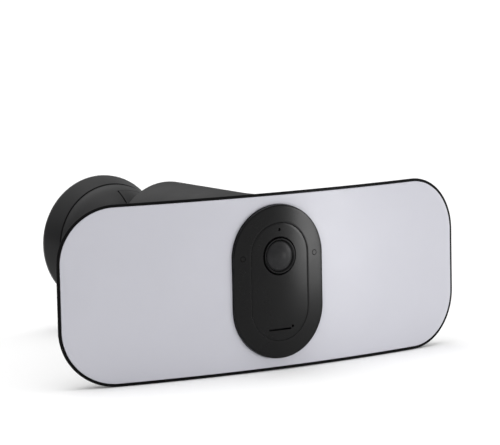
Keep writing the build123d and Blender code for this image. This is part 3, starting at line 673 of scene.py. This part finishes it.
def lerp_outlines(first, last, t):
    """An outline part of the way from one outline to another."""
    return [(a[0] + (b[0] - a[0]) * t, a[1] + (b[1] - a[1]) * t) for a, b in zip(first, last)]


def pod_walls(shrink):
    """Where the pod's straight walls start, in front of the panel's back, and end, on the barrel."""
    half_h = (POD_HIGH - POD_LOW) / 2
    middle = POD_LOW + half_h
    base = rounded_outline(POD_HALF_W - shrink, half_h - shrink, POD_ROUND - shrink, centre_z=middle)
    radius = BARREL_R - shrink
    tip = rounded_outline(radius, radius, radius, centre_z=BARREL_Z)
    return list(zip(at_y(base, POD_BASE_Y), at_y(tip, BARREL_FRONT)))


def wall_foot(wall, back, rounding, shift):
    """How far up its length a pod's wall comes out of the panel's back."""
    base, tip = wall
    t = 0.1
    for _ in range(20):
        p = base.lerp(tip, t)
        t = (dish_point(p.x, p.z, back, rounding, shift).y - base.y) / (tip.y - base.y)
    return t


def pod_foot():
    """For each wall of the pod: its foot, a point above the foot, and one outside it on the back."""
    walls = pod_walls(0)
    feet = [base.lerp(tip, wall_foot((base, tip), REAR_D, REAR_ROUND, SHELL_INSET)) for base, tip in walls]
    above, beside = [], []
    for i, (foot, (base, tip)) in enumerate(zip(feet, walls)):
        reach = min(POD_FOOT, 0.5 * panel_inset(foot.x, foot.z))
        above.append(foot + (tip - foot).normalized() * reach)
        along = feet[(i + 1) % LOOP] - feet[i - 1]
        outward = Vector((along.z, 0, -along.x)).normalized()
        beside.append(foot + outward * reach)
    return feet, above, [dish_point(p.x, p.z) for p in beside]


def make_rear_shell():
    """The panel's rounded back, with a hole for the pod and eight screw wells."""
    opening = [(p.x, p.z) for p in pod_foot()[2]]
    # The first rings lie close together, because the back turns sharply near the rim.
    rim_steps = [0, 0.0006, 0.0025, 0.006, 0.012, 0.02, 0.031, 0.045, 0.062, 0.083, 0.11]
    steps = rim_steps + [0.11 + 0.89 * i / 16 for i in range(1, 17)]
    outer = panel_outline(SHELL_INSET)
    inner = panel_outline(HOLLOW_INSET)
    inner_back = REAR_D - SHELL_T
    rings = [on_bend(outer, LEDGE_T + HAIRLINE)]
    rings += [[dish_point(x, z) for x, z in lerp_outlines(outer, opening, t)] for t in steps]
    for t in steps[:0:-2]:
        outline = lerp_outlines(inner, opening, t)
        rings.append([dish_point(x, z, inner_back, HOLLOW_ROUND, HOLLOW_INSET) for x, z in outline])
    rings.append(on_bend(inner, LEDGE_T + HAIRLINE))
    shell = ring_solid("rear_shell", rings, loop=True)
    wells = [screw_well(place, 6 * MM, 1.4 * MM, 4 * MM, 40) for place in shell_screw_places(0)]
    finish_piece(cut(shell, wells), "lamp", "case_black", "panel_rear_shell")


def make_pod():
    """The swelling between the panel's back and the barrel, on a hollow-curved foot."""
    feet, above, beside = pod_foot()
    tips = [tip for base, tip in pod_walls(0)]
    inner_walls = pod_walls(SHELL_T)
    under = [p - Vector((0, 1 * MM, 0)) for p in beside]
    rings = [under]
    for i in range(8):
        t = i / 7
        ring = []
        for low, corner, high in zip(beside, feet, above):
            ring.append(low * (1 - t) ** 2 + corner * (2 * t * (1 - t)) + high * t**2)
        rings.append(ring)
    edge = [p - Vector((0, HAIRLINE, 0)) for p in tips]
    rings += blend_rings(above, edge, 12) + [edge]
    inner_tips = [tip - Vector((0, HAIRLINE, 0)) for base, tip in inner_walls]
    section = (REAR_D - SHELL_T, HOLLOW_ROUND, HOLLOW_INSET)
    inner_feet = [base.lerp(tip, wall_foot((base, tip), *section)) for base, tip in inner_walls]
    rings += [inner_tips] + blend_rings(inner_tips, inner_feet, 6) + [inner_feet]
    pod = ring_solid("pod", rings, loop=True)
    finish_piece(pod, "lamp", "case_black", "barrel_collar")


def shell_screw_places(sink):
    """Eight places on the panel's back, sunk into it."""
    places = []
    for x, z in ((102 * MM, 46 * MM), (152 * MM, 26 * MM)):
        for across in (-x, x):
            for up in (-z, z):
                places.append(Vector((across, bend_y(x, REAR_D) - sink, PANEL_Z + up)))
    return places


def make_screws(name, places, head, shank, node):
    """Round-headed screws facing the wall, each with a hexagonal recess and a plain shank."""
    shank_r, head_r = 1.5 * MM, 3 * MM
    corners = [(0, -shank), (shank_r, -shank), (shank_r, 0), (head_r, 0), (head_r, head), (0, head)]
    radii = [0, 0.4 * MM, 0, 0.1 * MM, 0.5 * MM, 0]
    recess = [(0, head - 0.9 * MM), (0.85 * MM, head - 0.7 * MM)]
    recess += [(1.1 * MM, head + 0.2 * MM), (0, head + 1 * MM)]
    screws = []
    for place in places:
        screw = turned_solid(name, place, "Y", corners, radii, count=48)
        screws.append(cut(screw, [turned_cutter(place, "Y", recess, count=6)]))
    finish_piece(joined(name, screws), "lamp", "screw_black", node)


def make_shell_screws():
    make_screws("rear_screws", shell_screw_places(1.35 * MM), 1.25 * MM, 4.2 * MM, "shell_screws")


# ---------------------------------------------------------------- camera module
def module_outline(inset):
    """The camera face's outline, drawn in by an inset."""
    return stadium(MODULE_HALF_W, MODULE_HALF_H, inset)


def window_outline(inset):
    """The window's outline, drawn in by an inset."""
    return stadium(WINDOW_HALF_W, WINDOW_HALF_H, inset)


def make_camera_face():
    """The proud stadium, bulging sideways, with a pocket for the window and two infrared holes."""
    flange_front, flange_back = DIFFUSER_T + 0.05 * MM, 3.4 * MM
    flange = module_outline(-1.4 * MM)
    pocket_floor, shelf = PANEL_FRONT - 1 * MM, 3.5 * MM
    rounding, edge = 1.1 * MM, 0.2 * MM
    rings = [on_bend(flange, flange_back), on_bend(flange, flange_front)]
    rings += [on_bend(module_outline(0), flange_front)]
    rings += [on_bulge(module_outline(inset), drop) for inset, drop in rounded_edge(rounding, 7)]
    for i in range(1, 9):
        rings.append(on_bulge(lerp_outlines(module_outline(rounding), window_outline(-edge), i / 8), 0))
    rings += [on_bulge(window_outline(-reach), drop) for drop, reach in rounded_edge(edge, 4)[1:]]
    rings += [at_y(window_outline(0), pocket_floor), at_y(window_outline(shelf), pocket_floor)]
    rings += [at_y(window_outline(shelf), PANEL_FRONT + flange_back)]
    face = ring_solid("camera_body", rings, loop=True)
    surface = MODULE_Y - sqrt(MODULE_R**2 - IR_X**2)
    hole_r, mouth_r, hole_back = 2.0 * MM, 2.3 * MM, PANEL_FRONT + 9 * MM
    profile = [(0, BORE_FRONT), (mouth_r, BORE_FRONT), (mouth_r, surface), (hole_r, surface + 0.3 * MM)]
    profile += [(hole_r, hole_back), (0, hole_back)]
    holes = [turned_cutter(Vector((side * IR_X, 0, LENS_Z)), "Y", profile) for side in (-1, 1)]
    finish_piece(cut(face, holes), "lamp", "face_black", "camera_face")


def slot_cutter(x, z, half_length, half_height, front, back):
    """A cutter for a level slot with round ends."""
    outline = rounded_outline(half_length, half_height, half_height, 64, z)
    shifted = [(px + x, pz) for px, pz in outline]
    return ring_solid("cutter", [at_y(shifted, front), at_y(shifted, back)])


def make_window():
    """The flush inner panel, pierced for the lens, the light sensor, the speaker and the microphone."""
    margin, edge = 0.14 * MM, 0.2 * MM
    rings = [at_y(window_outline(margin), PANEL_FRONT - 1 * MM)]
    rings += [on_bulge(window_outline(margin + inset), drop) for inset, drop in rounded_edge(edge, 4)]
    inset = margin + edge
    while inset < WINDOW_HALF_W - 1.4 * MM:
        inset += 2 * MM
        rings.append(on_bulge(window_outline(min(inset, WINDOW_HALF_W - 0.6 * MM)), 0))
    window = ring_solid("camera_window", rings)
    surface = MODULE_Y - sqrt(MODULE_R**2 - (14 * MM) ** 2)
    bore_r, mouth_r = 14.15 * MM, 15.6 * MM
    cone = [(0, BORE_FRONT), (mouth_r, BORE_FRONT), (mouth_r, surface - 0.35 * MM)]
    cone += [(bore_r, surface + 1.1 * MM), (bore_r, BORE_BACK), (0, BORE_BACK)]
    cutters = [
        turned_cutter(Vector((0, 0, LENS_Z)), "Y", cone, count=128),
        bar(1.25 * MM, Vector((0, 0, SENSOR_Z)), "Y", BORE_FRONT, BORE_BACK),
        bar(1.1 * MM, Vector((MIC_X, 0, MIC_Z)), "Y", BORE_FRONT, BORE_BACK),
        slot_cutter(SLOT_X, SLOT_Z, 10.5 * MM, 0.7 * MM, BORE_FRONT, BORE_BACK),
    ]
    finish_piece(cut(window, cutters), "lamp", "window_black", "face_window")


def make_lens():
    """The dark ring round the lens, and its domed glass."""
    origin = Vector((0, PANEL_FRONT, LENS_Z))
    ring_r, bore_r = 13.8 * MM, LENS_R + 0.25 * MM
    ring_front, ring_back = -4.15 * MM, 2 * MM
    corners = [
        (LENS_R + 1.5 * MM, ring_front), (bore_r, -3.1 * MM), (bore_r, ring_back),
        (ring_r, ring_back), (ring_r, ring_front),
    ]
    radii = [0.1 * MM, 0.3 * MM, 0.2 * MM, 0.2 * MM, 0.15 * MM]
    ring = turned_ring("lens_collar", origin, "Y", corners, radii)
    finish_piece(ring, "lamp", "ring_black", "lens_ring")

    sphere = 17 * MM
    rise = sphere - sqrt(sphere**2 - LENS_R**2)
    edge_y, back_y = -3.2 * MM, -1.6 * MM
    half_angle = asin(LENS_R / sphere)
    profile = []
    for i in range(25):
        a = half_angle * i / 24
        profile.append((sphere * sin(a), edge_y - rise + sphere * (1 - cos(a))))
    profile += [(LENS_R, back_y), (0, back_y)]
    dome = turned("lens_glass_dome", origin, "Y", profile, loop=False)
    finish_piece(dome, "lamp", "lens_glass", "lens_dome")


def make_infrared_windows():
    """Two dark discs laid on the face's bulge, one on each side of the lens."""
    discs = []
    for side in (-1, 1):

        def circle(radius):
            return [(x + side * IR_X, z) for x, z in rounded_outline(radius, radius, radius, 48, LENS_Z)]

        rim = circle(1.88 * MM)
        rings = [at_y(rim, PANEL_FRONT - 0.6 * MM), on_bulge(rim, 0.3 * MM)]
        rings += [on_bulge(circle(radius * MM), 0.08 * MM) for radius in (1.74, 1.2, 0.6)]
        discs.append(ring_solid("ir", rings))
    finish_piece(joined("infrared_windows", discs), "lamp", "dark_glass", "ir_windows")


# ---------------------------------------------------------------- barrel
def make_barrel():
    """The barrel's tube, with its rolled rear lip, battery opening and button holes."""
    corners = [
        (INNER_R, BARREL_FRONT), (BARREL_R, BARREL_FRONT), (BARREL_R, BARREL_REAR), (INNER_R, BARREL_REAR),
    ]
    radii = [0, 0.15 * MM, 1.6 * MM, 0.4 * MM]
    path = rounded_path(corners, radii, steps=7, closed=True)
    tube = turned("barrel_tube", BARREL_AXIS, "Y", [(p.x, p.y) for p in path], count=256)
    gap = 0.35 * MM
    middle = (pack_low.y + pack_high.y) / 2
    half_w, half_l = pack_high.x + gap, (pack_high.y - pack_low.y) / 2 + gap
    outline = rounded_outline(half_w, half_l, COVER_ROUND + gap, 160, middle)
    low, high = BARREL_Z - 60 * MM, BARREL_Z - 35 * MM
    opening = [[Vector((x, y, height)) for x, y in outline] for height in (low, high)]
    cutters = [
        ring_solid("cutter", opening),
        bar(6.3 * MM, Vector((0, RELEASE_Y, 0)), "Z", low, high, 64),
        bar(4.8 * MM, Vector((0, SYNC_Y, 0)), "Z", low, high, 64),
        bar(1.3 * MM, Vector((LED_PIPE_X, SYNC_Y, 0)), "Z", low, high, 32),
    ]
    finish_piece(cut(tube, cutters), "lamp", "case_black", "barrel_shell")


def under_barrel(outline, radius):
    """An outline in plan, laid on the underside of a tube on the barrel's axis."""
    return [Vector((x, y, BARREL_Z - sqrt(radius * radius - x * x))) for x, y in outline]


def make_battery_cover():
    """The pack's curved cover, with rounded corners and edges."""
    half_w, half_l = pack_high.x, (pack_high.y - pack_low.y) / 2
    middle = (pack_low.y + pack_high.y) / 2
    inner = INNER_R - 0.35 * MM

    def outline(inset):
        corner = max(COVER_ROUND - inset, 0.1 * MM)
        return rounded_outline(half_w - inset, half_l - inset, corner, 192, middle)

    edge = 0.6 * MM
    innermost = half_w - 0.6 * MM
    rings = [under_barrel(outline(innermost), inner)]
    rings += [under_barrel(outline(inset * MM), inner) for inset in (20, 12, 5, 0)]
    rings += [under_barrel(outline(inset), BARREL_R - drop) for inset, drop in rounded_edge(edge, 5)]
    inset = edge
    while inset < half_w - 2.8 * MM:
        inset += 2 * MM
        rings.append(under_barrel(outline(inset), BARREL_R))
    rings.append(under_barrel(outline(innermost), BARREL_R))
    cover = ring_solid("battery_lid", rings)
    finish_piece(cover, "battery", "case_black", "battery_cover")


def make_rear_cap():
    """The barrel's rear cap: a disc with a round hole, four screw wells and the port's pocket."""
    cap_low, cap_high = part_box("barrel_rear_cap")
    front, rear = cap_low.y, cap_high.y
    rim = INNER_R - HAIRLINE
    hole = 9.05 * MM
    corners = [(hole, front), (rim, front), (rim, rear), (hole, rear)]
    radii = [0.2 * MM, 0.2 * MM, 0.5 * MM, 0.2 * MM]
    cap = turned_ring("rear_cap", BARREL_AXIS, "Y", corners, radii, count=192)
    cutters = [screw_well(place, 8 * MM, 1.9 * MM, 1 * MM, 48) for place in cap_screw_places(0)]
    flap_low, flap_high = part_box("port_cover")
    centre_x, centre_z = (flap_low.x + flap_high.x) / 2, (flap_low.z + flap_high.z) / 2
    outline = rounded_outline(7.3 * MM, 4.8 * MM, 2.3 * MM, 96, centre_z)
    pocket = [(x + centre_x, z) for x, z in outline]
    cutters.append(ring_solid("cutter", [at_y(pocket, rear - 1.6 * MM), at_y(pocket, rear + 1 * MM)]))
    cut(cap, cutters)
    cut(cap, [slot_cutter(centre_x, centre_z, 4.7 * MM, 1.8 * MM, front - 1 * MM, rear + 1 * MM)])
    finish_piece(cap, "lamp", "case_black", "barrel_rear_cap")


def cap_screw_places(sink):
    """Four places round the rear cap, sunk into it."""
    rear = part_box("barrel_rear_cap")[1].y
    radius = 40.5 * MM
    places = []
    for angle in (30, 150, 210, 330):
        a = radians(angle)
        places.append(Vector((radius * cos(a), rear - sink, BARREL_Z + radius * sin(a))))
    return places


def make_cap_screws():
    make_screws("rear_cap_screws", cap_screw_places(1.85 * MM), 1.6 * MM, 10 * MM, "cap_screws")


def make_port_flap():
    """The charging port's rubber flap, with rounded edges and a shallow groove round its face."""
    low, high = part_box("port_cover")
    centre_x, centre_z = (low.x + high.x) / 2, (low.z + high.z) / 2
    half_w, half_h = (high.x - low.x) / 2, (high.z - low.z) / 2

    def outline(inset):
        corner = max(2 * MM - inset, 0.1 * MM)
        ring = rounded_outline(half_w - inset, half_h - inset, corner, 96, centre_z)
        return [(x + centre_x, z) for x, z in ring]

    groove = high.y - 0.25 * MM
    rings = [at_y(outline(0.2 * MM), low.y), at_y(outline(0), low.y + 0.2 * MM)]
    rings += [at_y(outline(inset), high.y - drop) for inset, drop in rounded_edge(0.5 * MM, 5)]
    rings += [at_y(outline(1.3 * MM), high.y), at_y(outline(1.6 * MM), groove)]
    rings += [at_y(outline(2.0 * MM), groove), at_y(outline(2.3 * MM), high.y)]
    flap = ring_solid("port_flap_cover", rings)
    finish_piece(flap, "port_flap", "button_rubber", "port_cover")


def make_button(name, node, body, slot, y, radius, proud):
    """A round button whose rounded face follows the barrel, with a shallow hollow for the finger."""
    edge, hollow = 0.5 * MM, 0.45 * MM

    def ring(inset, drop):
        reach = radius - inset
        return under_barrel(rounded_outline(reach, reach, reach, 96, y), BARREL_R + proud - drop)

    top = BARREL_Z - 44.5 * MM
    rings = [[Vector((p.x, p.y, top)) for p in ring(0, 0)]]
    rings += [ring(inset, drop) for inset, drop in rounded_edge(edge, 5)]
    for i in range(1, 9):
        t = i / 8
        inset = edge + 0.5 * MM + (radius - edge - 0.6 * MM) * t
        rings.append(ring(inset, hollow * sin(pi / 2 * t)))
    finish_piece(ring_solid(name, rings), body, slot, node)


# ---------------------------------------------------------------- wall base
def make_base_ring():
    """The round wall base: its tapered skirt and the floor inside, bored for the swivel."""
    low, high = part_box("base_ring")
    rear_r, front_r = high.x, 52.2 * MM
    seat, bore = 48.8 * MM, 10.05 * MM
    floor_front, floor_back = -16 * MM, -12 * MM
    corners = [
        (front_r, low.y), (seat, low.y), (seat, floor_front), (bore, floor_front), (bore, floor_back),
        (front_r - 0.6 * MM, floor_back), (rear_r - 3.2 * MM, high.y), (rear_r, high.y), (rear_r, -4 * MM),
    ]
    radii = [radius * MM for radius in (0.7, 0.4, 0.5, 0.2, 0.2, 1, 0.4, 0.5, 1.4)]
    ring = turned_ring("base_skirt", Vector((0, 0, 0)), "Y", corners, radii, count=256)
    finish_piece(ring, "base", "mount_black", "base_ring")


# ---------------------------------------------------------------- the scene
make_camera()
make_world()
make_low_lamp()
make_floor()
dress_cad_nodes()
make_bezel()
make_diffuser()
make_rear_shell()
make_pod()
make_shell_screws()
make_camera_face()
make_window()
make_lens()
make_infrared_windows()
make_barrel()
make_battery_cover()
make_rear_cap()
make_cap_screws()
make_port_flap()
make_button("release_cap", "release_button", "release", "case_black", RELEASE_Y, 6 * MM, 0.3 * MM)
make_button("sync_cap", "sync_button", "sync", "button_rubber", SYNC_Y, 4.5 * MM, 0.2 * MM)
make_base_ring()
bpy.context.scene.view_settings.view_transform = "Standard"
